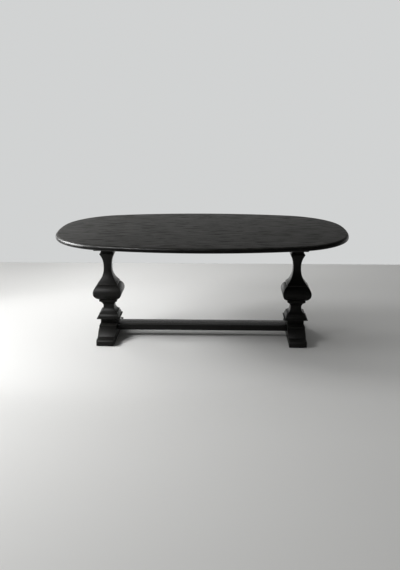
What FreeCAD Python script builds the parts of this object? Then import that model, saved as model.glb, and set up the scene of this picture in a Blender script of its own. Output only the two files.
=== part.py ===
import FreeCAD, Part
import math
import os

# Oval table on two square baluster pedestals, in millimetres.
# X runs along the top, -Y is the front, Z is up and the floor is at zero.

# Height of the whole table, which the necks make up
table_height = 780.0

# Top, glued up from boards that run along X
top_length = 2000.0
top_width = 1200.0
top_thickness = 33.0
top_side_radius = 2900.0
top_end_radius = 1200.0
top_end_run = 130.0
top_upper_round = 17.0
top_lower_round = 11.0
board_count = 8

# Loose tongues between the boards, stopped short of the rim
tongue_width = 24.0
tongue_thickness = 8.0
tongue_stop = 70.0
tongue_clearance = 0.2

# Bearers under the top, front to back over each pedestal, set back from the top's sides
bearer_setback = 265.0
bearer_width = 76.0
bearer_thickness = 50.0
bearer_end_chamfer = 10.0

# Screws from the bearers up into the boards, in slots that let the top move
screw_radius = 3.0
screw_bite = 22.0
screw_head_radius = 6.5
screw_head_height = 4.5
screw_washer_radius = 9.0
screw_washer_thickness = 1.6
screw_pocket_depth = 20.0
screw_pocket_clearance = 1.0
screw_slot_travel = 3.0
screw_slot_clearance = 0.5
screw_grip_clearance = 0.1
screw_end_gap = 1.0
screw_column = 20.0
screw_row_shift = 20.0
screw_rows_each_side = 2

# Pedestal stack, set in from the top's ends, with half widths and heights of each square moulding
pedestal_inset = 333.0
riser_half = 58.0
riser_height = 36.0
base_half = 82.5
base_fillet = 6.0
base_shelf_half = 74.0
base_crown_half = 65.5
base_ovolo = 26.0
waist_foot_half = 64.5
waist_fillet = 9.0
waist_flare = 41.5
waist_half = 38.0
waist_straight = 6.5
waist_cove = 37.0
collar_half = 63.0
collar_fillet = 16.0
bulb_foot_half = 56.0
bulb_half = 99.5
bulb_lower = 52.0
bulb_upper = 52.0
bulb_crown_half = 72.0
neck_foot_half = 70.5
neck_fillet = 10.0
neck_flare_share = 0.516
neck_half = 27.0
neck_spread_share = 0.413
neck_edge_half = 51.0
neck_bevel = 16.0
neck_crown_half = 41.0
capital_straight = 12.0
capital_cove = 28.0
capital_lip_half = 60.0
abacus_half = 64.0
abacus_height = 35.0

# Foot, a sled that runs front to back with a stepped toe at each end
foot_length = 514.0
foot_width = 121.0
toe_height = 44.0
toe_round = 18.0
toe_run = 72.0
scroll_run = 65.0
scroll_rise = 47.0
scroll_bulge = 7.0
quirk_run = 4.0
quirk_rise = 11.0

# Felt pads let into the toes
pad_radius = 15.0
pad_thickness = 5.0
pad_proud = 3.0
pad_clearance = 0.2
pad_toe_inset = 32.0
pad_side_inset = 25.0

# Tie rod that clamps each stack, with a nut and washer sunk at both ends
rod_radius = 6.0
rod_clearance = 0.5
rod_end_gap = 2.0
nut_sides = 6
nut_across_flats = 18.0
nut_height = 10.0
nut_thread_clearance = 0.1
tie_washer_radius = 15.0
tie_washer_thickness = 2.5
foot_pocket_depth = 22.0
bearer_pocket_depth = 18.0
tie_pocket_clearance = 2.0

# Dowels across each joint of the stack
dowel_radius = 4.0
dowel_length = 30.0
dowel_offset = 24.0
dowel_clearance = 0.1
dowel_end_gap = 1.0

# Stretcher between the feet, tenoned and bolted
stretcher_width = 120.0
stretcher_thickness = 40.0
stretcher_lift = 53.5
stretcher_chamfer = 2.0
tenon_length = 32.0
tenon_width = 84.0
tenon_thickness = 20.0
tenon_clearance = 0.2
tenon_end_gap = 1.0
bolt_radius = 4.0
bolt_clearance = 0.5
bolt_offset = 28.0
bolt_past_nut = 6.0
bolt_end_gap = 1.0
bolt_head_radius = 6.5
bolt_head_height = 8.0
bolt_washer_radius = 8.0
bolt_washer_thickness = 1.6
bolt_pocket_depth = 20.0
barrel_radius = 7.0
barrel_length = 24.0
barrel_set = 45.0
barrel_clearance = 0.2
barrel_thread_clearance = 0.1
plug_radius = 10.0
plug_length = 8.0
plug_clearance = 0.1

# Cuts run this far past the face that they open
overrun = 5.0

# Heights of the joints, with the neck taking what the others leave
top_foot_z = table_height - top_thickness
bearer_foot_z = top_foot_z - bearer_thickness
capital_foot_z = bearer_foot_z - abacus_height - capital_cove - capital_straight
riser_foot_z = toe_height + scroll_rise + quirk_rise
base_foot_z = riser_foot_z + riser_height
waist_foot_z = base_foot_z + base_fillet + base_ovolo
bulb_foot_z = waist_foot_z + waist_fillet + waist_flare + waist_straight + waist_cove + collar_fillet
neck_foot_z = bulb_foot_z + bulb_lower + bulb_upper
neck_curves = capital_foot_z - neck_foot_z - neck_fillet - neck_bevel
neck_flare = neck_curves * neck_flare_share
neck_spread = neck_curves * neck_spread_share
joint_heights = [riser_foot_z, base_foot_z, waist_foot_z, bulb_foot_z]
joint_heights += [neck_foot_z, capital_foot_z, bearer_foot_z]

sides = (("left", -1), ("right", 1))
board_width = top_width / board_count
bearer_length = top_width - 2 * bearer_setback
pedestal_offset = top_length / 2 - pedestal_inset
foot_inner_x = pedestal_offset - foot_width / 2
foot_outer_x = pedestal_offset + foot_width / 2


def point(x, y, z):
    return FreeCAD.Vector(x, y, z)


def line(start, end):
    return Part.LineSegment(start, end).toShape()


def arc(start, middle, end):
    return Part.Arc(start, middle, end).toShape()


def box(x_from, x_to, y_from, y_to, z_from, z_to):
    return Part.makeBox(x_to - x_from, y_to - y_from, z_to - z_from, point(x_from, y_from, z_from))


def upright(radius, x, y, z_from, z_to):
    return Part.makeCylinder(radius, z_to - z_from, point(x, y, z_from))


def lying(radius, x_from, x_to, y, z):
    return Part.makeCylinder(radius, x_to - x_from, point(x_from, y, z), point(1, 0, 0))


def mirrored(shape, side):
    return shape.copy() if side > 0 else shape.mirror(point(0, 0, 0), point(1, 0, 0))


def moved(shape, x, y=0):
    placed = shape.copy()
    placed.translate(point(x, y, 0))
    return placed


def group(shapes):
    return Part.makeCompound(list(shapes))


def keep(name, shape):
    shape.exportStep(os.path.join("parts", name + ".step"))
    print(name, len(shape.Solids), round(shape.Volume))


# Middle of an arc that leaves the first point upright and ends at the second
def upright_arc_middle(half_from, z_from, half_to, z_to):
    run = half_to - half_from
    rise = z_to - z_from
    radius = (run * run + rise * rise) / (2 * abs(run))
    half_angle = math.atan2(abs(rise), radius - abs(run)) / 2
    half_middle = half_from + math.copysign(radius * (1 - math.cos(half_angle)), run)
    return half_middle, z_from + math.copysign(radius * math.sin(half_angle), rise)


# Middle of an arc over the two points that stands out from their chord by the bulge
def bulged_middle(y_from, z_from, y_to, z_to, bulge):
    run = y_to - y_from
    rise = z_to - z_from
    chord = math.hypot(run, rise)
    return (y_from + y_to) / 2 + bulge * rise / chord, (z_from + z_to) / 2 - bulge * run / chord


# Face between an outline that climbs the positive side and its mirror image
def mirrored_face(steps, place):
    edges = []
    for sign in (1, -1):
        last = place(sign * steps[0][0], steps[0][1])
        for step in steps[1:]:
            end = place(sign * step[-2], step[-1])
            if len(step) > 2:
                edges.append(arc(last, place(sign * step[0], step[1]), end))
            else:
                edges.append(line(last, end))
            last = end
    for half, z in (steps[0], steps[-1][-2:]):
        edges.append(line(place(-half, z), place(half, z)))
    return Part.Face(Part.Wire(Part.__sortEdges__(edges)))


# Square block whose four sides all follow one outline, mitred at the corners
def moulded(steps):
    reach = max(step[-2] for step in steps) + overrun
    face = mirrored_face(steps, lambda half, z: point(half, -reach, z))
    slab = face.extrude(point(0, reach + reach, 0))
    turned = slab.copy()
    turned.rotate(point(0, 0, 0), point(0, 0, 1), 90)
    return slab.common(turned)


def hexagon_nut(z_from):
    corner = nut_across_flats / 2 / math.cos(math.pi / nut_sides)
    turns = [2 * math.pi * turn / nut_sides for turn in range(nut_sides + 1)]
    corners = [point(corner * math.cos(turn), corner * math.sin(turn), z_from) for turn in turns]
    body = Part.Face(Part.makePolygon(corners)).extrude(point(0, 0, nut_height))
    hole = upright(rod_radius + nut_thread_clearance, 0, 0, z_from - overrun, z_from + nut_height + overrun)
    return body.cut(hole)


def washer(outer, inner, thickness, x, y, z_from):
    ring = upright(outer, x, y, z_from, z_from + thickness)
    return ring.cut(upright(inner, x, y, z_from - overrun, z_from + thickness + overrun))


# Radius of the corner arc, which goes on from the end arc and touches the side arc from inside
def corner_radius():
    from_side_x = end_touch_x
    from_side_y = top_end_run - side_centre_y
    inward = (from_side_x * (end_touch_x - end_centre_x) + from_side_y * top_end_run) / top_end_radius
    room = top_side_radius ** 2 - from_side_x ** 2 - from_side_y ** 2
    return room / (2 * (top_side_radius - inward))


side_centre_y = top_width / 2 - top_side_radius
end_centre_x = top_length / 2 - top_end_radius
end_touch_x = end_centre_x + math.sqrt(top_end_radius ** 2 - top_end_run ** 2)
top_corner_radius = corner_radius()
corner_x = end_touch_x - top_corner_radius * (end_touch_x - end_centre_x) / top_end_radius
corner_y = top_end_run - top_corner_radius * top_end_run / top_end_radius
side_turn = math.atan2(corner_y - side_centre_y, corner_x)
side_touch_x = top_side_radius * math.cos(side_turn)
side_touch_y = side_centre_y + top_side_radius * math.sin(side_turn)


# Half the top's length at a distance from its long centre line
def oval_reach(y):
    if abs(y) > side_touch_y:
        return math.sqrt(top_side_radius ** 2 - (abs(y) - side_centre_y) ** 2)
    if abs(y) > top_end_run:
        return corner_x + math.sqrt(top_corner_radius ** 2 - (abs(y) - corner_y) ** 2)
    return end_centre_x + math.sqrt(top_end_radius ** 2 - y ** 2)


def oval_slab():
    z = top_foot_z
    chord_x = (side_touch_x + end_touch_x) / 2
    chord_y = (side_touch_y + top_end_run) / 2
    middle_turn = math.atan2(chord_y - corner_y, chord_x - corner_x)
    bend_x = corner_x + top_corner_radius * math.cos(middle_turn)
    bend_y = corner_y + top_corner_radius * math.sin(middle_turn)
    edges = []
    for sign in (1, -1):
        start = point(-side_touch_x, sign * side_touch_y, z)
        end = point(side_touch_x, sign * side_touch_y, z)
        edges.append(arc(start, point(0, sign * top_width / 2, z), end))
        start = point(sign * end_touch_x, -top_end_run, z)
        end = point(sign * end_touch_x, top_end_run, z)
        edges.append(arc(start, point(sign * top_length / 2, 0, z), end))
        for across in (1, -1):
            start = point(sign * side_touch_x, across * side_touch_y, z)
            end = point(sign * end_touch_x, across * top_end_run, z)
            edges.append(arc(start, point(sign * bend_x, across * bend_y, z), end))
    slab = Part.Face(Part.Wire(Part.__sortEdges__(edges))).extrude(point(0, 0, top_thickness))
    upper = [edge for edge in slab.Edges if edge.BoundBox.ZMin > top_foot_z + top_thickness / 2]
    slab = slab.makeFillet(top_upper_round, upper)
    lower = [edge for edge in slab.Edges if edge.BoundBox.ZMax < top_foot_z + top_lower_round / 2]
    return slab.makeFillet(top_lower_round, lower)


def seams():
    return [(index - board_count / 2) * board_width for index in range(1, board_count)]


def tongue(y, clearance):
    reach = oval_reach(y) - tongue_stop + clearance
    half_width = tongue_width / 2 + clearance
    half_thickness = tongue_thickness / 2 + clearance
    z = top_foot_z + top_thickness / 2
    return box(-reach, reach, y - half_width, y + half_width, z - half_thickness, z + half_thickness)


def screw_places():
    rows = [row * board_width + board_width / 2 + screw_row_shift for row in range(screw_rows_each_side)]
    return [(x, sign * y) for x in (-screw_column, screw_column) for y in rows for sign in (-1, 1)]


screw_seat_z = bearer_foot_z + screw_pocket_depth
screw_head_z = screw_seat_z - screw_washer_thickness


def top_boards():
    slab = oval_slab()
    grip = screw_radius + screw_grip_clearance
    hole_top = top_foot_z + screw_bite + screw_end_gap
    holes = [upright(grip, side * pedestal_offset + x, y, top_foot_z - overrun, hole_top)
             for _, side in sides for x, y in screw_places()]
    cuts = group([tongue(y, tongue_clearance) for y in seams()] + holes)
    for index in range(board_count):
        y_from = index * board_width - top_width / 2
        strip = box(-top_length, top_length, y_from, y_from + board_width, 0, table_height + overrun)
        keep("top_board_%d" % (index + 1), slab.common(strip).cut(cuts))
    keep("top_tongues", group(tongue(y, 0) for y in seams()))


def screw():
    shank = upright(screw_radius, 0, 0, screw_head_z, top_foot_z + screw_bite)
    return shank.fuse(upright(screw_head_radius, 0, 0, screw_head_z - screw_head_height, screw_head_z))


# Slot of round-ended outline that runs along Y
def slot(radius, x, y, z_from, z_to):
    ends = [upright(radius, x, y + sign * screw_slot_travel, z_from, z_to) for sign in (-1, 1)]
    middle = box(x - radius, x + radius, y - screw_slot_travel, y + screw_slot_travel, z_from, z_to)
    return ends[0].fuse(ends[1]).fuse(middle)


def bearer():
    half_x, half_y = bearer_width / 2, bearer_length / 2
    chamfer_y = half_y - bearer_end_chamfer
    steps = [(chamfer_y, bearer_foot_z), (half_y, bearer_foot_z + bearer_end_chamfer), (half_y, top_foot_z)]
    blank = mirrored_face(steps, lambda half, z: point(-half_x, half, z)).extrude(point(bearer_width, 0, 0))
    pocket = screw_washer_radius + screw_pocket_clearance
    cuts = [slot(pocket, x, y, bearer_foot_z - overrun, screw_seat_z) for x, y in screw_places()]
    hole = screw_radius + screw_slot_clearance
    cuts += [slot(hole, x, y, bearer_foot_z, top_foot_z + overrun) for x, y in screw_places()]
    return blank.cut(group(cuts))


# Bore and dowel holes that run through the whole stack, with the two sunk pockets
def stack_hollows():
    pocket = tie_washer_radius + tie_pocket_clearance
    hollows = [
        upright(rod_radius + rod_clearance, 0, 0, -overrun, table_height),
        upright(pocket, 0, 0, -overrun, pad_proud + foot_pocket_depth),
        upright(pocket, 0, 0, top_foot_z - bearer_pocket_depth, top_foot_z + overrun),
    ]
    reach = dowel_length / 2 + dowel_end_gap
    hole = dowel_radius + dowel_clearance
    for z in joint_heights:
        for sign in (-1, 1):
            hollows.append(upright(hole, 0, sign * dowel_offset, z - reach, z + reach))
    return group(hollows)


def riser_block():
    return moulded([(riser_half, riser_foot_z), (riser_half, base_foot_z)])


def base_block():
    ovolo_z = base_foot_z + base_fillet
    crown = upright_arc_middle(base_shelf_half, ovolo_z, base_crown_half, waist_foot_z)
    return moulded([
        (base_half, base_foot_z),
        (base_half, ovolo_z),
        (base_shelf_half, ovolo_z),
        crown + (base_crown_half, waist_foot_z),
    ])


def waist_block():
    flare_z = waist_foot_z + waist_fillet
    waist_z = flare_z + waist_flare
    cove_z = waist_z + waist_straight
    collar_z = cove_z + waist_cove
    flare = upright_arc_middle(waist_half, waist_z, waist_foot_half, flare_z)
    cove = upright_arc_middle(waist_half, cove_z, collar_half, collar_z)
    return moulded([
        (waist_foot_half, waist_foot_z),
        (waist_foot_half, flare_z),
        flare + (waist_half, waist_z),
        (waist_half, cove_z),
        cove + (collar_half, collar_z),
        (collar_half, bulb_foot_z),
    ])


def bulb_block():
    belly_z = bulb_foot_z + bulb_lower
    lower = upright_arc_middle(bulb_half, belly_z, bulb_foot_half, bulb_foot_z)
    upper = upright_arc_middle(bulb_half, belly_z, bulb_crown_half, neck_foot_z)
    return moulded([
        (bulb_foot_half, bulb_foot_z),
        lower + (bulb_half, belly_z),
        upper + (bulb_crown_half, neck_foot_z),
    ])


def neck_block():
    flare_z = neck_foot_z + neck_fillet
    neck_z = flare_z + neck_flare
    edge_z = capital_foot_z - neck_bevel
    spread_z = edge_z - neck_spread
    flare = upright_arc_middle(neck_half, neck_z, neck_foot_half, flare_z)
    spread = upright_arc_middle(neck_half, spread_z, neck_edge_half, edge_z)
    return moulded([
        (neck_foot_half, neck_foot_z),
        (neck_foot_half, flare_z),
        flare + (neck_half, neck_z),
        (neck_half, spread_z),
        spread + (neck_edge_half, edge_z),
        (neck_crown_half, capital_foot_z),
    ])


def capital_block():
    cove_z = capital_foot_z + capital_straight
    lip_z = cove_z + capital_cove
    cove = upright_arc_middle(neck_crown_half, cove_z, capital_lip_half, lip_z)
    return moulded([
        (neck_crown_half, capital_foot_z),
        (neck_crown_half, cove_z),
        cove + (capital_lip_half, lip_z),
        (abacus_half, lip_z),
        (abacus_half, bearer_foot_z),
    ])


# Dowels, rod, nuts and washers of one stack
def stack_hardware():
    dowels = []
    for z in joint_heights:
        for sign in (-1, 1):
            half = dowel_length / 2
            dowels.append(upright(dowel_radius, 0, sign * dowel_offset, z - half, z + half))
    lower_seat = pad_proud + foot_pocket_depth
    upper_seat = top_foot_z - bearer_pocket_depth
    grip = tie_washer_thickness + nut_height
    rod_past_seat = grip + rod_end_gap
    hole = rod_radius + rod_clearance
    return {
        "pedestal_dowels": group(dowels),
        "tie_rod": upright(rod_radius, 0, 0, lower_seat - rod_past_seat, upper_seat + rod_past_seat),
        "tie_nuts": group([hexagon_nut(lower_seat - grip), hexagon_nut(upper_seat + tie_washer_thickness)]),
        "tie_washers": group(
            washer(tie_washer_radius, hole, tie_washer_thickness, 0, 0, z)
            for z in (lower_seat - tie_washer_thickness, upper_seat)
        ),
    }


def pad_places():
    reach_x = foot_width / 2 - pad_side_inset
    reach_y = foot_length / 2 - pad_toe_inset
    return [(x, y) for x in (-reach_x, reach_x) for y in (-reach_y, reach_y)]


def foot_blank():
    tip = foot_length / 2
    round_middle = toe_round * (1 - math.sqrt(1 / 2))
    toe_end = tip - toe_run
    scroll_end = toe_end - scroll_run
    scroll_z = toe_height + scroll_rise
    scroll = bulged_middle(toe_end, toe_height, scroll_end, scroll_z, scroll_bulge)
    steps = [
        (tip, pad_proud),
        (tip, toe_height - toe_round),
        (tip - round_middle, toe_height - round_middle, tip - toe_round, toe_height),
        (toe_end, toe_height),
        scroll + (scroll_end, scroll_z),
        (scroll_end - quirk_run, scroll_z),
        (scroll_end - quirk_run, riser_foot_z),
    ]
    face = mirrored_face(steps, lambda half, z: point(-foot_width / 2, half, z))
    blank = face.extrude(point(foot_width, 0, 0))
    recess = pad_radius + pad_clearance
    recesses = [upright(recess, x, y, pad_proud - overrun, pad_thickness) for x, y in pad_places()]
    return blank.cut(group(recesses))


bolt_z = stretcher_lift + stretcher_thickness / 2
bolt_seat_x = foot_outer_x - bolt_pocket_depth
bolt_head_x = bolt_seat_x + bolt_washer_thickness
barrel_x = foot_inner_x - barrel_set
bolt_places = (-bolt_offset, bolt_offset)


def tenon(clearance, end_gap):
    half_width = tenon_width / 2 + clearance
    half_thickness = tenon_thickness / 2 + clearance
    x_to = foot_inner_x + tenon_length + end_gap
    z_from, z_to = bolt_z - half_thickness, bolt_z + half_thickness
    return box(foot_inner_x - overrun, x_to, -half_width, half_width, z_from, z_to)


# Bolt holes of the right foot and of the right end of the stretcher, with the barrel nuts' pockets
def bolt_hollows():
    hollows = []
    hole_end_x = barrel_x - bolt_past_nut - bolt_end_gap
    pocket = barrel_radius + barrel_clearance
    pocket_top = bolt_z + barrel_length / 2
    for y in bolt_places:
        hollows.append(lying(bolt_radius + bolt_clearance, hole_end_x, bolt_seat_x, y, bolt_z))
        hollows.append(lying(plug_radius + plug_clearance, bolt_seat_x, foot_outer_x + overrun, y, bolt_z))
        hollows.append(upright(pocket, barrel_x, y, stretcher_lift - overrun, pocket_top))
    return group(hollows)


def stretcher():
    half_width = stretcher_width / 2
    top_z = stretcher_lift + stretcher_thickness
    plank = box(-foot_inner_x, foot_inner_x, -half_width, half_width, stretcher_lift, top_z)
    long_edges = [edge for edge in plank.Edges if edge.Length > foot_inner_x]
    plank = plank.makeChamfer(stretcher_chamfer, long_edges)
    for _, side in sides:
        plank = plank.fuse(mirrored(tenon(0, 0), side))
    for _, side in sides:
        plank = plank.cut(mirrored(bolt_hollows(), side))
    return plank.removeSplitter()


# Bolts, washers, barrel nuts and plugs at the right end of the stretcher
def stretcher_hardware():
    bolts, washers, barrels, plugs = [], [], [], []
    thread = bolt_radius + barrel_thread_clearance
    hole = bolt_radius + bolt_clearance
    head_end_x = bolt_head_x + bolt_head_height
    half_length = barrel_length / 2
    for y in bolt_places:
        shank = lying(bolt_radius, barrel_x - bolt_past_nut, bolt_head_x, y, bolt_z)
        bolts.append(shank.fuse(lying(bolt_head_radius, bolt_head_x, head_end_x, y, bolt_z)))
        ring = lying(bolt_washer_radius, bolt_seat_x, bolt_head_x, y, bolt_z)
        washers.append(ring.cut(lying(hole, bolt_seat_x - overrun, bolt_head_x + overrun, y, bolt_z)))
        barrel = upright(barrel_radius, barrel_x, y, bolt_z - half_length, bolt_z + half_length)
        barrels.append(barrel.cut(lying(thread, barrel_x - half_length, barrel_x + half_length, y, bolt_z)))
        plugs.append(lying(plug_radius, foot_outer_x - plug_length, foot_outer_x, y, bolt_z))
    return {
        "stretcher_bolts": group(bolts),
        "stretcher_washers": group(washers),
        "stretcher_barrel_nuts": group(barrels),
        "bolt_plugs": group(plugs),
    }


os.makedirs("parts", exist_ok=True)
top_boards()
keep("stretcher", stretcher())

hollows = stack_hollows()
blocks = {
    "riser": riser_block(),
    "base": base_block(),
    "waist": waist_block(),
    "bulb": bulb_block(),
    "neck": neck_block(),
    "capital": capital_block(),
    "bearer": bearer(),
}
foot = foot_blank().cut(hollows)
foot_joinery = group([tenon(tenon_clearance, tenon_end_gap), bolt_hollows()])
pads = group(upright(pad_radius, x, y, 0, pad_thickness) for x, y in pad_places())
screws = group(moved(screw(), x, y) for x, y in screw_places())
screw_hole = screw_radius + screw_slot_clearance
screw_washers = group(
    washer(screw_washer_radius, screw_hole, screw_washer_thickness, x, y, screw_head_z)
    for x, y in screw_places()
)
for name, side in sides:
    x = side * pedestal_offset
    for block, shape in blocks.items():
        keep(block + "_" + name, moved(shape.cut(hollows), x))
    keep("foot_" + name, mirrored(moved(foot, pedestal_offset).cut(foot_joinery), side))
    for piece, shape in stack_hardware().items():
        keep(piece + "_" + name, moved(shape, x))
    for piece, shape in stretcher_hardware().items():
        keep(piece + "_" + name, mirrored(shape, side))
    keep("floor_pads_" + name, moved(pads, x))
    keep("top_screws_" + name, moved(screws, x))
    keep("top_washers_" + name, moved(screw_washers, x))
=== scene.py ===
import bmesh
import bpy
import math
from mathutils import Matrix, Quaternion, Vector


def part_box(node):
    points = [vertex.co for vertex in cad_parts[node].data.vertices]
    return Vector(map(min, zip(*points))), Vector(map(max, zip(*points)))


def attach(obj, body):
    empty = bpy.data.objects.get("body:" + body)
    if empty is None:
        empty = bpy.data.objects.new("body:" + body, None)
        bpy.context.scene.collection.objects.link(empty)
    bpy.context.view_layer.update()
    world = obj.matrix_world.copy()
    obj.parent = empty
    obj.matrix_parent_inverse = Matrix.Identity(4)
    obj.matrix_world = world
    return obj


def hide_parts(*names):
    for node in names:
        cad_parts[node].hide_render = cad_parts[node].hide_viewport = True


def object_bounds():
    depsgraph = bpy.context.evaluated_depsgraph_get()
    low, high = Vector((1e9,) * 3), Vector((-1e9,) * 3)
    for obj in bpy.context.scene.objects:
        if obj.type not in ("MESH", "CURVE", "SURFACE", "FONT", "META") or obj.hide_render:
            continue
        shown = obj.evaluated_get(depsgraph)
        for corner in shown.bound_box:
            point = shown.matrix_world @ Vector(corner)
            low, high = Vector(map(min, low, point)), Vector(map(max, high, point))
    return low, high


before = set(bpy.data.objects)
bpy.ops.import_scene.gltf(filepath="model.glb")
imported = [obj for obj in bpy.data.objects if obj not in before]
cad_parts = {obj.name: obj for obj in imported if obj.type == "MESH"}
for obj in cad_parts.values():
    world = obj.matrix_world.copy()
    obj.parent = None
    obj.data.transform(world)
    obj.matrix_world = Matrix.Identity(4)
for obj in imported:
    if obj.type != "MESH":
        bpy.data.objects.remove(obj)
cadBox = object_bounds()
sideNames = ("left", "right")
sharpTurn = math.radians(28)  # an edge that turns further is an arris, and stays crisp
roundSides = 40
seedSize = 0.01  # of the plane that is merged into the first point of an outline
print("frame loaded,", len(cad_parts), "nodes")


# modelling helpers, all in metres in the frame of the table

def clearSelection():
    bpy.ops.object.select_all(action="DESELECT")


def setMode(mode):
    bpy.ops.object.mode_set(mode=mode)


def renamed(name):
    piece = bpy.context.active_object
    piece.name = name
    piece.data.name = name
    return piece


def makeActive(piece):
    clearSelection()
    piece.select_set(True)
    bpy.context.view_layer.objects.active = piece


def settle(piece):  # the place goes into the mesh, and faces point outwards
    makeActive(piece)
    bpy.ops.object.transform_apply(location=True, rotation=True, scale=True)
    setMode("EDIT")
    bpy.ops.mesh.select_all(action="SELECT")
    bpy.ops.mesh.normals_make_consistent(inside=False)
    setMode("OBJECT")


def pickEdges(test):
    bpy.ops.mesh.select_mode(type="EDGE")
    bpy.ops.mesh.select_all(action="DESELECT")
    mesh = bmesh.from_edit_mesh(bpy.context.edit_object.data)
    for edge in mesh.edges:
        if test(edge):
            edge.select_set(True)
    mesh.select_flush_mode()
    bmesh.update_edit_mesh(bpy.context.edit_object.data)


def sharpOutside(edge):  # an arris that stands out, not an inner corner
    return edge.calc_face_angle_signed(0) > sharpTurn


def easeEdges(piece, width, steps, test=sharpOutside):
    makeActive(piece)
    setMode("EDIT")
    pickEdges(test)
    bpy.ops.mesh.bevel(offset=width, offset_type="OFFSET", segments=steps, profile=0.5,
                       clamp_overlap=True)
    mesh = bmesh.from_edit_mesh(piece.data)
    wear = mesh.verts.layers.float.get("wear") or mesh.verts.layers.float.new("wear")
    for vertex in mesh.verts:  # only the crest of each eased edge is rubbed
        if vertex.link_faces and all(face.select for face in vertex.link_faces):
            vertex[wear] = 1
    bmesh.update_edit_mesh(piece.data)
    setMode("OBJECT")


def smooth(piece):
    makeActive(piece)
    bpy.ops.object.shade_smooth_by_angle(angle=sharpTurn)


def traceOutline(name, points):  # one vertex is drawn out along the points, then filled
    clearSelection()
    bpy.ops.mesh.primitive_plane_add(size=seedSize, location=points[0])
    piece = renamed(name)
    setMode("EDIT")
    bpy.ops.mesh.select_mode(type="VERT")
    bpy.ops.mesh.merge(type="CENTER")
    for last, point in zip(points, points[1:]):
        bpy.ops.mesh.extrude_vertices_move(TRANSFORM_OT_translate={"value": point - last})
    bpy.ops.mesh.select_all(action="SELECT")
    bpy.ops.mesh.edge_face_add()
    setMode("OBJECT")
    return piece


def thicken(piece, way):
    makeActive(piece)
    setMode("EDIT")
    bpy.ops.mesh.select_all(action="SELECT")
    bpy.ops.mesh.extrude_region_move(TRANSFORM_OT_translate={"value": way})
    setMode("OBJECT")
    settle(piece)


def arcPoints(centre, radius, turnFrom, turnTo, count):
    turns = [turnFrom + (turnTo - turnFrom) * step / count for step in range(count + 1)]
    return [(centre[0] + radius * math.cos(turn), centre[1] + radius * math.sin(turn))
            for turn in turns]


def copied(piece, name, way):
    makeActive(piece)
    bpy.ops.object.duplicate()
    twin = renamed(name)
    bpy.ops.transform.translate(value=way)
    settle(twin)
    return twin


def cutAway(piece, cutters):  # holes are cut with round tools, which are then thrown away
    for cutter in cutters:
        makeActive(piece)
        cut = piece.modifiers.new("cut", "BOOLEAN")
        cut.operation = "DIFFERENCE"
        cut.object = cutter
        bpy.ops.object.modifier_apply(modifier=cut.name)
        bpy.data.objects.remove(cutter)


def drill(place, radius, depth, along):
    clearSelection()
    turn = Vector((0, 0, 1)).rotation_difference(Vector(along)).to_euler()
    bpy.ops.mesh.primitive_cylinder_add(vertices=roundSides, radius=radius, depth=depth,
                                        location=place, rotation=turn)
    return renamed("drill")


def dress(piece, finish, node):
    piece.data.materials.clear()
    piece.data.materials.append(finish)
    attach(piece, "root")
    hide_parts(node)


# finishes

def addNode(tree, kind, **sockets):
    node = tree.nodes.new("ShaderNode" + kind)
    for name, value in sockets.items():
        node.inputs[name].default_value = value
    return node


def newFinish(name):
    finish = bpy.data.materials.new(name)
    finish.use_nodes = True
    return finish, finish.node_tree, finish.node_tree.nodes["Principled BSDF"]


def mathNode(tree, operation, *values):
    node = tree.nodes.new("ShaderNodeMath")
    node.operation = operation
    for socket, value in zip(node.inputs, values):
        if hasattr(value, "links"):
            tree.links.new(value, socket)
        else:
            socket.default_value = value
    return node.outputs[0]


def ramp(tree, value, low, high, fromValue=0.0, toValue=1.0):
    node = addNode(tree, "MapRange")
    node.interpolation_type = "SMOOTHSTEP"
    tree.links.new(value, node.inputs["Value"])
    limits = {"From Min": low, "From Max": high, "To Min": fromValue, "To Max": toValue}
    for name, number in limits.items():
        node.inputs[name].default_value = number
    return node.outputs["Result"]


def blend(tree, share, first, second):
    node = tree.nodes.new("ShaderNodeMix")
    node.data_type = "RGBA"
    tree.links.new(share, node.inputs["Factor"])
    for name, colour in (("A", first), ("B", second)):
        socket = [s for s in node.inputs if s.name == name and s.type == "RGBA"][0]
        if hasattr(colour, "links"):
            tree.links.new(colour, socket)
        else:
            socket.default_value = (*colour, 1)
    return [s for s in node.outputs if s.type == "RGBA"][0]


def stretched(tree, vector, scale):
    node = addNode(tree, "Mapping", Scale=scale)
    tree.links.new(vector, node.inputs["Vector"])
    return node.outputs["Vector"]


def noise(tree, vector, scale, detail=2.0, roughness=0.5):
    node = addNode(tree, "TexNoise", Scale=1.0, Detail=detail, Roughness=roughness)
    tree.links.new(stretched(tree, vector, scale), node.inputs["Vector"])
    return node.outputs["Fac"]


def addBump(tree, shader, height, strength, depth):
    bump = addNode(tree, "Bump", Strength=strength, Distance=depth)
    tree.links.new(height, bump.inputs["Height"])
    tree.links.new(bump.outputs["Normal"], shader.inputs["Normal"])


grainTurns = {"x": (0, 0, 0), "y": (0, 0, -math.pi / 2), "z": (0, math.pi / 2, 0)}


def alongGrain(tree, along):
    turn = addNode(tree, "Mapping", Rotation=grainTurns[along])
    tree.links.new(addNode(tree, "TexCoord").outputs["Object"], turn.inputs["Vector"])
    return turn.outputs["Vector"]


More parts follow.
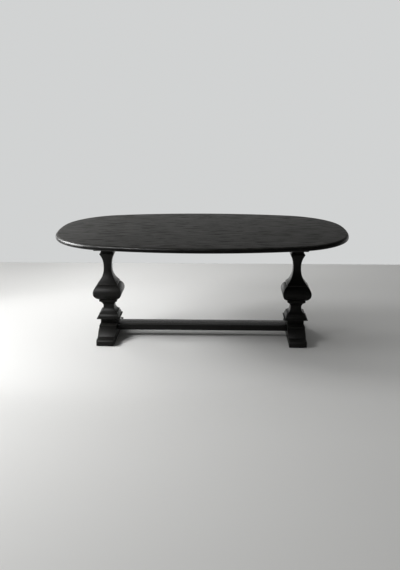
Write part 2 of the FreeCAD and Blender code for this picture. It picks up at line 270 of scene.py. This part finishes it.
# in the finishes, a noise is its scale on each axis, with x along the grain, its detail and roughness,
# a span is where a ramp starts and ends, with its values there if they aren't 0 and 1,
# and a bump is its strength and its depth in metres
oak = {
    "ringWidth": 0.0065,
    "ringStretch": (0.22, 1, 1),
    "ringWander": 9.0,
    "wanderScale": 0.07,
    "wanderDetail": 2.0,
    "wanderRoughness": 0.55,
    "earlySpan": (0.62, 0.08),
    "fibre": ((22, 900, 900), 3.0, 0.6),
    "fibreSpan": (0.25, 0.75, 0.55, 1.0),
    "pore": ((70, 1500, 1500), 1.0),
    "poreSpan": (0.56, 0.66),
    "poreEarlySpan": (0.1, 0.8, 0.25, 1.0),
    "fleck": ((26, 150, 150), 2.0, 0.6),
    "fleckSpan": (0.64, 0.74),
    "fleckEarlySpan": (0.0, 0.7, 0.3, 1.0),
    "cloud": ((1.1, 5, 5), 3.0),
    "cloudSpan": (0.3, 0.7, 0.7, 1.0),
    "figure": ((8, 62, 62), 2.0, 0.6),
    "figureSpan": (0.55, 0.64),
    "rub": ((9, 60, 60), 3.0, 0.65),
    "rubSpan": (0.42, 0.70),
    "rubShare": 0.6,
    "rubbed": (0.024, 0.023, 0.020),
    "earlyMatt": 0.7,
    "cloudMatt": 0.25,
    "mattShare": 0.8,
    "mattSpan": (0.05, 1.0),
    "earlyDepth": -0.35,
    "darkDepth": 0.8,
    "fibreDepth": 0.25,
    "bump": (0.5, 0.0004),
}
frameTones = ((0.0020, 0.0019, 0.0018), (0.0054, 0.0053, 0.0049), (0.0142, 0.0139, 0.0126))
# tones are those of pores, early and late wood, figure is the strength of the dark streaks, gloss is
# the roughness of late and early wood, and the faces that are rubbed finer and get painted shade are
# given by the axis of their normal, where they start and are full, their share of the roughness and
# the share of painted shade that darkens their colour towards the pore tone
grades = {
    "frame": {
        "tones": frameTones,
        "figure": 0.0,
        "gloss": (0.44, 0.58),
        "fineAndShaded": ("X", 0.50, 0.90, 0.65, 0.5),
        "specular": 0.12,
    },
    "bar": {
        "tones": frameTones,
        "figure": 0.0,
        "gloss": (0.26, 0.40),
        "fineAndShaded": ("X", 0.50, 0.90, 1.0, 0.0),
        "specular": 0.12,
    },
    "top": {
        # painted light: these tones are the frame's oak made lighter, for the brighter light that falls
        # on the top
        "tones": ((0.0013, 0.0012, 0.0011), (0.0082, 0.0081, 0.0075), (0.0370, 0.0363, 0.0333)),
        "figure": 1.0,
        "gloss": (0.42, 0.62),
        # the rim of the top gets a finer gloss and strong painted shade in its colour
        "fineAndShaded": ("Z", 0.92, 0.60, 0.70, 0.9),
        "specular": 0.098,
    },
}


def blackOak(name, along, heart, lean=0.0, grade="frame"):
    finish, tree, shader = newFinish(name)
    facts = grades[grade]
    deep, early, late = facts["tones"]
    # rings lie round a heart line, which leans out of the grain's axis
    place = addNode(tree, "Mapping", Location=heart, Rotation=(0, lean, 0))
    tree.links.new(alongGrain(tree, along), place.inputs["Vector"])
    wood = place.outputs["Vector"]

    rings = addNode(tree, "TexWave", **{
        "Scale": math.pi / 10 / oak["ringWidth"],  # the wave node's own measure of a ring
        "Distortion": oak["ringWander"],
        "Detail": oak["wanderDetail"],
        "Detail Scale": oak["wanderScale"],
        "Detail Roughness": oak["wanderRoughness"],
    })
    rings.wave_type = "RINGS"
    rings.rings_direction = "X"
    rings.wave_profile = "SAW"
    tree.links.new(stretched(tree, wood, oak["ringStretch"]), rings.inputs["Vector"])
    earlyWood = ramp(tree, rings.outputs["Fac"], *oak["earlySpan"])

    fibre = noise(tree, wood, *oak["fibre"])
    pore = ramp(tree, noise(tree, wood, *oak["pore"]), *oak["poreSpan"])
    pores = mathNode(tree, "MULTIPLY", pore, ramp(tree, earlyWood, *oak["poreEarlySpan"]))
    fleck = ramp(tree, noise(tree, wood, *oak["fleck"]), *oak["fleckSpan"])
    flecks = mathNode(tree, "MULTIPLY", fleck, ramp(tree, earlyWood, *oak["fleckEarlySpan"]))
    cloud = noise(tree, wood, *oak["cloud"])

    lateWood = mathNode(tree, "SUBTRACT", 1.0, earlyWood)
    tone = mathNode(tree, "MULTIPLY", lateWood, ramp(tree, fibre, *oak["fibreSpan"]))
    tone = mathNode(tree, "MULTIPLY", tone, ramp(tree, cloud, *oak["cloudSpan"]))
    colour = blend(tree, tone, early, late)
    figure = ramp(tree, noise(tree, wood, *oak["figure"]), *oak["figureSpan"], 0.0, facts["figure"])
    dark = mathNode(tree, "MAXIMUM", mathNode(tree, "MAXIMUM", pores, flecks), figure)
    colour = blend(tree, dark, colour, deep)

    axis, dull, polished, share, paintedShade = facts["fineAndShaded"]
    facing = addNode(tree, "SeparateXYZ")
    tree.links.new(addNode(tree, "TexCoord").outputs["Normal"], facing.inputs["Vector"])
    edge = ramp(tree, mathNode(tree, "ABSOLUTE", facing.outputs[axis]), dull, polished)
    # painted shade: faces turned along the axis are darkened towards the pore tone, by the grade's share
    colour = blend(tree, mathNode(tree, "MULTIPLY", edge, paintedShade), colour, deep)

    wear = addNode(tree, "Attribute")
    wear.attribute_name = "wear"
    rub = ramp(tree, noise(tree, wood, *oak["rub"]), *oak["rubSpan"])
    rub = mathNode(tree, "MULTIPLY", rub, oak["rubShare"])
    rubbed = mathNode(tree, "MULTIPLY", wear.outputs["Fac"], rub)
    colour = blend(tree, rubbed, colour, oak["rubbed"])
    tree.links.new(colour, shader.inputs["Base Color"])

    matt = mathNode(tree, "MAXIMUM", mathNode(tree, "MULTIPLY", earlyWood, oak["earlyMatt"]), dark)
    matt = mathNode(tree, "MULTIPLY", matt, oak["mattShare"])
    matt = mathNode(tree, "MULTIPLY_ADD", cloud, oak["cloudMatt"], matt)
    finer = mathNode(tree, "MULTIPLY_ADD", edge, share - 1.0, 1.0)
    rough = ramp(tree, matt, *oak["mattSpan"], *facts["gloss"])
    tree.links.new(mathNode(tree, "MULTIPLY", rough, finer), shader.inputs["Roughness"])

    height = mathNode(tree, "MULTIPLY", earlyWood, oak["earlyDepth"])
    height = mathNode(tree, "SUBTRACT", height, mathNode(tree, "MULTIPLY", dark, oak["darkDepth"]))
    height = mathNode(tree, "ADD", height, mathNode(tree, "MULTIPLY", fibre, oak["fibreDepth"]))
    addBump(tree, shader, height, *oak["bump"])
    shader.inputs["Specular IOR Level"].default_value = facts["specular"]
    return finish


beech = {
    "grain": ((8, 260, 260), 3.0, 0.6),
    "tones": ((0.52, 0.34, 0.19), (0.66, 0.49, 0.32)),
    "speck": ((90, 700, 700), 1.0),
    "speckSpan": (0.60, 0.70),
    "speckTone": (0.36, 0.21, 0.11),
    "roughSpan": (0.2, 0.8, 0.58, 0.70),
    "bump": (0.3, 0.0002),
}


def paleBeech(name, along):
    finish, tree, shader = newFinish(name)
    wood = alongGrain(tree, along)
    grain = noise(tree, wood, *beech["grain"])
    speck = ramp(tree, noise(tree, wood, *beech["speck"]), *beech["speckSpan"])
    colour = blend(tree, grain, *beech["tones"])
    tree.links.new(blend(tree, speck, colour, beech["speckTone"]), shader.inputs["Base Color"])
    tree.links.new(ramp(tree, grain, *beech["roughSpan"]), shader.inputs["Roughness"])
    addBump(tree, shader, grain, *beech["bump"])
    return finish


zinc = {
    "spangle": ((160, 160, 160), 2.0),
    "tones": ((0.44, 0.45, 0.47), (0.66, 0.66, 0.65)),
    "roughSpan": (0.3, 0.7, 0.26, 0.44),
    "scratch": ((1400, 1400, 90), 1.0),
    "bump": (0.15, 0.0001),
}


def zincPlate(name):
    finish, tree, shader = newFinish(name)
    coords = addNode(tree, "TexCoord").outputs["Object"]
    spangle = noise(tree, coords, *zinc["spangle"])
    tree.links.new(blend(tree, spangle, *zinc["tones"]), shader.inputs["Base Color"])
    tree.links.new(ramp(tree, spangle, *zinc["roughSpan"]), shader.inputs["Roughness"])
    shader.inputs["Metallic"].default_value = 1.0
    addBump(tree, shader, noise(tree, coords, *zinc["scratch"]), *zinc["bump"])
    return finish


felt = {
    "hair": ((900, 900, 900), 4.0, 0.7),
    "tones": ((0.035, 0.034, 0.033), (0.12, 0.115, 0.11)),
    "roughness": 0.95,
    "sheen": 0.3,
    "bump": (0.6, 0.0004),
}


def pressedFelt(name):
    finish, tree, shader = newFinish(name)
    coords = addNode(tree, "TexCoord").outputs["Object"]
    hair = noise(tree, coords, *felt["hair"])
    tree.links.new(blend(tree, hair, *felt["tones"]), shader.inputs["Base Color"])
    shader.inputs["Roughness"].default_value = felt["roughness"]
    shader.inputs["Sheen Weight"].default_value = felt["sheen"]
    addBump(tree, shader, hair, *felt["bump"])
    return finish


# table top: an oval slab of three tangent arcs to a quarter, sawn into its boards

tableTop = {
    "sideRadius": 2.9,
    "endRadius": 1.2,
    "endRun": 0.13,  # half the stretch of the end arc
    "arcSteps": (28, 30, 10),
    "upperRound": 0.017,
    "lowerRound": 0.011,
    "roundSteps": (9, 7),
    "sameHeight": 1e-5,  # an edge this near to a face's height lies on it
    "boards": 8,
    "heartStep": 3.7,  # from board to board along the log, so that no figure repeats
    "heartDepth": 0.055,  # heart line under the face, for flat-sawn figure
    "heartDrift": (0.012, -0.034, 0.047, -0.008, 0.029, -0.051, 0.018, -0.027),
    "heartLean": (0.031, -0.024, 0.028, -0.035, 0.022, 0.033, -0.027, 0.030),
}


def ovalOutline(half, side, z):
    sideY = side - tableTop["sideRadius"]
    endX = half - tableTop["endRadius"]
    run = tableTop["endRun"]
    endTurn = math.asin(run / tableTop["endRadius"])
    touchX = endX + tableTop["endRadius"] * math.cos(endTurn)
    inward = touchX * math.cos(endTurn) + (run - sideY) * math.sin(endTurn)
    spare = tableTop["sideRadius"] ** 2 - touchX ** 2 - (run - sideY) ** 2
    corner = spare / (2 * (tableTop["sideRadius"] - inward))
    cornerX = touchX - corner * math.cos(endTurn)
    cornerY = run - corner * math.sin(endTurn)
    sideTurn = math.atan2(cornerY - sideY, cornerX)
    sideSteps, cornerSteps, endSteps = tableTop["arcSteps"]
    quarter = arcPoints((endX, 0), tableTop["endRadius"], 0, endTurn, endSteps)
    quarter += arcPoints((cornerX, cornerY), corner, endTurn, sideTurn, cornerSteps)[1:]
    quarter += arcPoints((0, sideY), tableTop["sideRadius"], sideTurn, math.pi / 2, sideSteps)[1:]
    back = quarter + [(-x, y) for x, y in quarter[-2::-1]]
    front = [(-x, -y) for x, y in back[1:-1]]
    return [Vector((x, y, z)) for x, y in back + front]


def makeTop():
    low, high = cadBox
    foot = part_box("top_board_1")[0].z
    slab = traceOutline("ovalSlab", ovalOutline(high.x, high.y, foot))
    thicken(slab, (0, 0, high.z - foot))
    for z, width, steps in ((high.z, tableTop["upperRound"], tableTop["roundSteps"][0]),
                            (foot, tableTop["lowerRound"], tableTop["roundSteps"][1])):
        easeEdges(slab, width, steps,
                  lambda edge: all(abs(v.co.z - z) < tableTop["sameHeight"] for v in edge.verts))
    boardWidth = (high.y - low.y) / tableTop["boards"]
    for index in range(tableTop["boards"]):
        yFrom = low.y + index * boardWidth
        board = copied(slab, "topBoard%d" % (index + 1), (0, 0, 0))
        makeActive(board)
        setMode("EDIT")
        for y, clear in ((yFrom, "clear_inner"), (yFrom + boardWidth, "clear_outer")):
            if abs(y) < high.y - boardWidth / 2:
                bpy.ops.mesh.select_all(action="SELECT")
                bpy.ops.mesh.bisect(plane_co=(0, y, 0), plane_no=(0, 1, 0), use_fill=True,
                                    **{clear: True})
        setMode("OBJECT")
        smooth(board)
        heartY = yFrom + boardWidth / 2 + tableTop["heartDrift"][index]
        heart = (index * tableTop["heartStep"], -heartY, tableTop["heartDepth"] - high.z)
        lean = tableTop["heartLean"][index]
        finish = blackOak("boardOak%d" % (index + 1), "x", heart, lean, "top")
        dress(board, finish, "top_board_%d" % (index + 1))
    bpy.data.objects.remove(slab)
    print("top made,", tableTop["boards"], "boards")


makeTop()


# pedestals: each block is a square drawn upwards and scaled at every step, so its corners are mitred
# a step is its half width, its height over the block's foot, and which end of its arc is upright,
# or none for a straight

blocks = {
    "riser": [(0.058, 0, None), (0.058, 0.036, None)],
    "base": [(0.0825, 0, None), (0.0825, 0.006, None), (0.074, 0.006, None),
             (0.0655, 0.032, "start")],
    "waist": [(0.0645, 0, None), (0.0645, 0.009, None), (0.038, 0.0505, "end"),
              (0.038, 0.057, None), (0.063, 0.094, "start"), (0.063, 0.110, None)],
    "bulb": [(0.056, 0, None), (0.0995, 0.052, "end"), (0.072, 0.104, "start")],
    "neck": [(0.0705, 0, None), (0.0705, 0.010, None), (0.027, 0.1194, "end"),
             (0.027, 0.1344, None), (0.051, 0.222, "start"), (0.041, 0.238, None)],
    "capital": [(0.041, 0, None), (0.041, 0.012, None), (0.060, 0.040, "start"),
                (0.064, 0.040, None), (0.064, 0.075, None)],
}
blockWork = {
    "ease": 0.0014,
    "easeSteps": 2,
    "arcSteps": 14,
    "heart": (0.0, 0.21, 0.35),
    "heartStep": (2.3, 0.05, 0.0),  # from block to block
}


def uprightArc(upright, other, count):  # leaves the first point straight up or down
    run = other[0] - upright[0]
    rise = other[1] - upright[1]
    radius = (run * run + rise * rise) / (2 * abs(run))
    whole = math.atan2(abs(rise), radius - abs(run))
    turns = [whole * step / count for step in range(count + 1)]
    return [(upright[0] + math.copysign(radius * (1 - math.cos(turn)), run),
             upright[1] + math.copysign(radius * math.sin(turn), rise)) for turn in turns]


def blockOutline(steps):
    points = [steps[0][:2]]
    for half, z, upright in steps[1:]:
        if upright == "start":
            points += uprightArc(points[-1], (half, z), blockWork["arcSteps"])[1:]
        elif upright == "end":
            points += uprightArc((half, z), points[-1], blockWork["arcSteps"])[-2::-1]
        else:
            points.append((half, z))
    return points


def makeBlock(name, node, steps):
    low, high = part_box(node)
    x = (low.x + high.x) / 2
    points = blockOutline(steps)
    clearSelection()
    bpy.ops.mesh.primitive_plane_add(size=2 * points[0][0], location=(x, 0, low.z))
    piece = renamed(name)
    setMode("EDIT")
    for (lastHalf, lastZ), (half, z) in zip(points, points[1:]):
        bpy.ops.mesh.extrude_region_move(TRANSFORM_OT_translate={"value": (0, 0, z - lastZ)})
        scale = half / lastHalf
        bpy.ops.transform.resize(value=(scale, scale, 1), center_override=(x, 0, low.z + z))
    setMode("OBJECT")
    settle(piece)
    easeEdges(piece, blockWork["ease"], blockWork["easeSteps"])
    smooth(piece)
    return piece


def makePedestals():
    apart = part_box("riser_right")[0].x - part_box("riser_left")[0].x
    for index, (block, steps) in enumerate(blocks.items()):
        heart = [first + index * step
                 for first, step in zip(blockWork["heart"], blockWork["heartStep"])]
        finish = blackOak(block + "Oak", "z", heart)
        left = makeBlock(block + "Left", block + "_left", steps)
        right = copied(left, block + "Right", (apart, 0, 0))
        for piece, side in ((left, "left"), (right, "right")):
            dress(piece, finish, "%s_%s" % (block, side))
    print("pedestals made,", len(blocks), "blocks each")


makePedestals()


# sled feet

sledFoot = {
    "toeHeight": 0.044,
    "toeRound": 0.018,
    "toeRun": 0.072,
    "scrollRun": 0.065,
    "scrollRise": 0.047,
    "scrollBulge": 0.007,
    "quirkRun": 0.004,
    "arcSteps": 12,
    "ease": 0.0016,
    "easeSteps": 2,
    "padFit": 0.0002,
    "padSink": 0.002,
    "nutPocket": (0.017, 0.022),  # radius and depth
    "plugFit": 0.0001,
    "plugDepth": 0.012,
    "heart": (1.3, 0.0, 0.16),
}


def bulgedArc(start, end, bulge, count):
    chord = math.hypot(end[0] - start[0], end[1] - start[1])
    radius = (chord * chord / 4 + bulge * bulge) / (2 * bulge)
    outward = ((end[1] - start[1]) / chord, (start[0] - end[0]) / chord)
    centre = [(a + b) / 2 - way * (radius - bulge) for a, b, way in zip(start, end, outward)]
    turnFrom = math.atan2(start[1] - centre[1], start[0] - centre[0])
    turnTo = math.atan2(end[1] - centre[1], end[0] - centre[0])
    return arcPoints(centre, radius, turnFrom, turnTo, count)


def footOutline(x, tip, under, top):
    toeHeight = sledFoot["toeHeight"]
    rounded = sledFoot["toeRound"]
    steps = sledFoot["arcSteps"]
    toeEnd = (tip - sledFoot["toeRun"], toeHeight)
    scrollEnd = (toeEnd[0] - sledFoot["scrollRun"], toeHeight + sledFoot["scrollRise"])
    quirk = scrollEnd[0] - sledFoot["quirkRun"]
    half = [(tip, under)]
    half += arcPoints((tip - rounded, toeHeight - rounded), rounded, 0, math.pi / 2, steps)
    half += bulgedArc(toeEnd, scrollEnd, sledFoot["scrollBulge"], steps)
    half += [(quirk, scrollEnd[1]), (quirk, top)]
    return [Vector((x, y, z)) for y, z in half + [(-y, z) for y, z in half[::-1]]]


floorPad = {"radius": 0.015, "ease": 0.0012, "easeSteps": 3}


def padPlaces(side):
    low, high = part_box("floor_pads_" + side)
    inset = floorPad["radius"]
    return [(x, y) for x in (low.x + inset, high.x - inset) for y in (low.y + inset, high.y - inset)]


def makeFeet():
    finish = blackOak("footOak", "y", sledFoot["heart"])
    padHole = floorPad["radius"] + sledFoot["padFit"]
    pocket, deep = sledFoot["nutPocket"]
    for side in sideNames:
        low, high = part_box("foot_" + side)
        piece = traceOutline("foot" + side.capitalize(), footOutline(low.x, high.y, low.z, high.z))
        thicken(piece, (high.x - low.x, 0, 0))
        easeEdges(piece, sledFoot["ease"], sledFoot["easeSteps"])
        cutters = [drill((x, y, low.z), padHole, 2 * sledFoot["padSink"], (0, 0, 1))
                   for x, y in padPlaces(side)]
        cutters.append(drill(((low.x + high.x) / 2, 0, low.z), pocket, 2 * deep, (0, 0, 1)))
        plugLow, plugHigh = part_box("bolt_plugs_" + side)
        plug = (plugHigh.z - plugLow.z) / 2
        outer = low.x if side == "left" else high.x
        for y in (plugLow.y + plug, plugHigh.y - plug):
            place = (outer, y, plugLow.z + plug)
            plugHole = plug + sledFoot["plugFit"]
            cutters.append(drill(place, plugHole, 2 * sledFoot["plugDepth"], (1, 0, 0)))
        cutAway(piece, cutters)
        smooth(piece)
        dress(piece, finish, "foot_" + side)
    print("feet made")


def makePads():
    finish = pressedFelt("padFelt")
    for side in sideNames:
        low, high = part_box("floor_pads_" + side)
        discs = []
        for x, y in padPlaces(side):
            clearSelection()
            bpy.ops.mesh.primitive_cylinder_add(vertices=roundSides, radius=floorPad["radius"],
                                                depth=high.z - low.z,
                                                location=(x, y, (low.z + high.z) / 2))
            disc = renamed("pad")
            settle(disc)
            easeEdges(disc, floorPad["ease"], floorPad["easeSteps"])
            discs.append(disc)
        clearSelection()
        for disc in discs:
            disc.select_set(True)
        bpy.context.view_layer.objects.active = discs[0]
        bpy.ops.object.join()
        piece = renamed("floorPads" + side.capitalize())
        smooth(piece)
        dress(piece, finish, "floor_pads_" + side)
    print("pads made")


makeFeet()
makePads()


# stretcher

stretcherBar = {
    "ease": 0.002,
    "easeSteps": 3,
    "nutPocket": (0.0072, 0.031),  # radius and depth
    "heart": (8.1, 0.02, 0.02),
}


def makeStretcher():
    low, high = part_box("stretcher")
    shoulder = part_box("foot_right")[0].x
    clearSelection()
    bpy.ops.mesh.primitive_cube_add(size=1, location=(0, 0, (low.z + high.z) / 2))
    piece = renamed("stretcherBar")
    bpy.ops.transform.resize(value=(2 * shoulder, high.y - low.y, high.z - low.z))
    settle(piece)
    easeEdges(piece, stretcherBar["ease"], stretcherBar["easeSteps"],
              lambda edge: abs(edge.verts[0].co.x - edge.verts[1].co.x) > shoulder)
    cutters = []
    radius, deep = stretcherBar["nutPocket"]
    for side in sideNames:
        nutLow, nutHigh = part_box("stretcher_barrel_nuts_" + side)
        nut = (nutHigh.x - nutLow.x) / 2
        for y in (nutLow.y + nut, nutHigh.y - nut):
            cutters.append(drill(((nutLow.x + nutHigh.x) / 2, y, low.z), radius, 2 * deep, (0, 0, 1)))
    cutAway(piece, cutters)
    smooth(piece)
    finish = blackOak("stretcherOak", "x", stretcherBar["heart"], grade="bar")
    dress(piece, finish, "stretcher")
    print("stretcher made")


makeStretcher()


# carried-over solids get their finishes

carried = {
    "bearerHeart": (5.9, 0.03, -0.62),
    "plugHeart": (2.9, 0.02, -0.03),
    "metal": ("tie_rod", "tie_nuts", "tie_washers", "stretcher_bolts", "stretcher_washers",
              "stretcher_barrel_nuts", "top_screws", "top_washers"),
}


def dressNodes():
    metalZinc = zincPlate("zincPlate")
    bearerOak = blackOak("bearerOak", "y", carried["bearerHeart"])
    plugOak = blackOak("plugOak", "x", carried["plugHeart"])
    dowelBeech = paleBeech("dowelBeech", "z")
    tongueBeech = paleBeech("tongueBeech", "x")
    finishes = {"top_tongues": tongueBeech}
    for side in sideNames:
        finishes["bearer_" + side] = bearerOak
        finishes["bolt_plugs_" + side] = plugOak
        finishes["pedestal_dowels_" + side] = dowelBeech
        for metal in carried["metal"]:
            finishes["%s_%s" % (metal, side)] = metalZinc
    for node, finish in finishes.items():
        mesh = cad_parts[node].data
        mesh.materials.clear()
        mesh.materials.append(finish)
    print("finishes given to", len(finishes), "solids")


dressNodes()


# floor, light and camera

room = {
    "floorSize": (12.0, 9.0),
    "floorBack": 2.05,  # where the floor ends behind the table
    "floor": (0.71, 0.71, 0.70),
    "floorRoughness": 0.6,
    "floorSpecular": 0.0,
    "backdrop": (0.64, 0.65, 0.65),
    "glow": (1.0, 1.0, 0.99),
    "brightSide": (-0.78, 0.62, 0.10),
    "sideSpan": (0.10, 0.90, 0.01, 0.43),  # away from that side it is dim
    "ceilingSpan": (0.30, 0.95, 0.0, 0.36),
    "wallSpan": (0.25, 0.90, 0.0, 0.95),  # behind the table, and only near the floor
    "wallFootSpan": (0.22, 0.02),
}


def makeRoom():
    width, depth = room["floorSize"]
    clearSelection()
    bpy.ops.mesh.primitive_plane_add(size=1, location=(0, room["floorBack"] - depth / 2, 0))
    floor = renamed("floor")
    bpy.ops.transform.resize(value=(width, depth, 1))
    settle(floor)
    finish, _, shader = newFinish("paleFloor")
    shader.inputs["Base Color"].default_value = (*room["floor"], 1)
    shader.inputs["Roughness"].default_value = room["floorRoughness"]
    shader.inputs["Specular IOR Level"].default_value = room["floorSpecular"]
    floor.data.materials.append(finish)

    world = bpy.data.worlds.new("room")
    world.use_nodes = True
    bpy.context.scene.world = world
    tree = world.node_tree
    glow = tree.nodes["Background"]
    way = addNode(tree, "TexCoord").outputs["Generated"]
    dot = tree.nodes.new("ShaderNodeVectorMath")
    dot.operation = "DOT_PRODUCT"
    tree.links.new(way, dot.inputs[0])
    dot.inputs[1].default_value = Vector(room["brightSide"]).normalized()
    side = ramp(tree, dot.outputs["Value"], *room["sideSpan"])
    axes = addNode(tree, "SeparateXYZ")
    tree.links.new(way, axes.inputs["Vector"])
    above = ramp(tree, axes.outputs["Z"], *room["ceilingSpan"])
    behind = ramp(tree, axes.outputs["Y"], *room["wallSpan"])
    low = ramp(tree, axes.outputs["Z"], *room["wallFootSpan"])
    strength = mathNode(tree, "ADD", side, mathNode(tree, "MULTIPLY_ADD", behind, low, above))
    tree.links.new(strength, glow.inputs["Strength"])
    glow.inputs["Color"].default_value = (*room["glow"], 1)
    backdrop = addNode(tree, "Background", Color=(*room["backdrop"], 1))
    mix = tree.nodes.new("ShaderNodeMixShader")
    tree.links.new(addNode(tree, "LightPath").outputs["Is Camera Ray"], mix.inputs["Fac"])
    tree.links.new(glow.outputs["Background"], mix.inputs[1])
    tree.links.new(backdrop.outputs["Background"], mix.inputs[2])
    tree.links.new(mix.outputs["Shader"], tree.nodes["World Output"].inputs["Surface"])


# a glint lamp shows only as a glint, a matt one leaves none, and reach is where a lamp fades out
lamps = {
    "keyWindow": {
        "place": (-4.4, 0.2, 2.9), "aim": (0.0, 0.0, 0.3), "size": (1.2, 1.2), "power": 90.0,
    },
    "frontWindow": {
        "place": (-3.1, -1.6, 2.3), "aim": (-0.2, 0.0, 0.2), "size": (1.1, 1.1), "power": 82.0,
    },
    "scrollWindow": {
        "place": (-1.3, -1.7, 2.0), "aim": (-0.67, 0.0, 0.2), "size": (0.8, 0.8), "power": 82.0,
        "glint": True,
    },
    "rimWindow": {
        "place": (-3.0, -0.18, 1.5), "aim": (-0.8, 0.0, 0.75), "size": (2.2, 1.5), "power": 700.0,
        "glint": True, "reach": (2.42, 2.62),
    },
    "sunPatch": {
        "place": (-4.0, -0.4, 2.6), "aim": (-1.15, 0.0, 0.0), "cone": 38.0, "soft": 0.25, "power": 195.0,
    },
    "farFloor": {
        "place": (-2.6, 2.2, 2.8), "aim": (0.1, 1.1, 0.0), "cone": 52.0, "soft": 0.5, "power": 190.0,
        "matt": True,
    },
}
coneBlend = 0.7


def makeLamps():
    for name, facts in lamps.items():
        if "cone" in facts:
            light = bpy.data.lights.new(name, "SPOT")
            light.spot_size = math.radians(facts["cone"])
            light.spot_blend = coneBlend
            light.shadow_soft_size = facts["soft"]
        else:
            light = bpy.data.lights.new(name, "AREA")
            light.shape = "RECTANGLE"
            light.size, light.size_y = facts["size"]
        light.energy = facts["power"]
        if "reach" in facts:  # so that the flat of the top mirrors little of this lamp
            light.use_nodes = True
            tree = light.node_tree
            away = addNode(tree, "LightPath").outputs["Ray Length"]
            fade = ramp(tree, away, *facts["reach"], 1.0, 0.0)
            tree.links.new(fade, tree.nodes["Emission"].inputs["Strength"])
        lamp = bpy.data.objects.new(name, light)
        bpy.context.scene.collection.objects.link(lamp)
        lamp.visible_camera = False
        lamp.visible_diffuse = "glint" not in facts
        lamp.visible_glossy = "matt" not in facts
        lamp.location = facts["place"]
        lamp.rotation_mode = "QUATERNION"
        way = Vector(facts["aim"]) - Vector(facts["place"])
        lamp.rotation_quaternion = way.to_track_quat("-Z", "Y")


shot = {
    "place": (0.1318, -4.7783, 1.7715),
    "look": (-0.02946, 0.95935, -0.28068),
    "roll": -0.0018,
    "focalPixels": 700.0,
    "longSide": 570.0,  # of the picture, in pixels
}


def makeCamera():
    lens = bpy.data.cameras.new("camera")
    lens.lens = shot["focalPixels"] * lens.sensor_width / shot["longSide"]
    camera = bpy.data.objects.new("camera", lens)
    bpy.context.scene.collection.objects.link(camera)
    camera.location = shot["place"]
    camera.rotation_mode = "QUATERNION"
    tilt = Quaternion((0, 0, 1), shot["roll"])
    camera.rotation_quaternion = Vector(shot["look"]).to_track_quat("-Z", "Y") @ tilt
    bpy.context.scene.camera = camera


makeRoom()
makeLamps()
makeCamera()
bpy.context.scene.view_settings.view_transform = "Standard"
print("room, lamps and camera made")
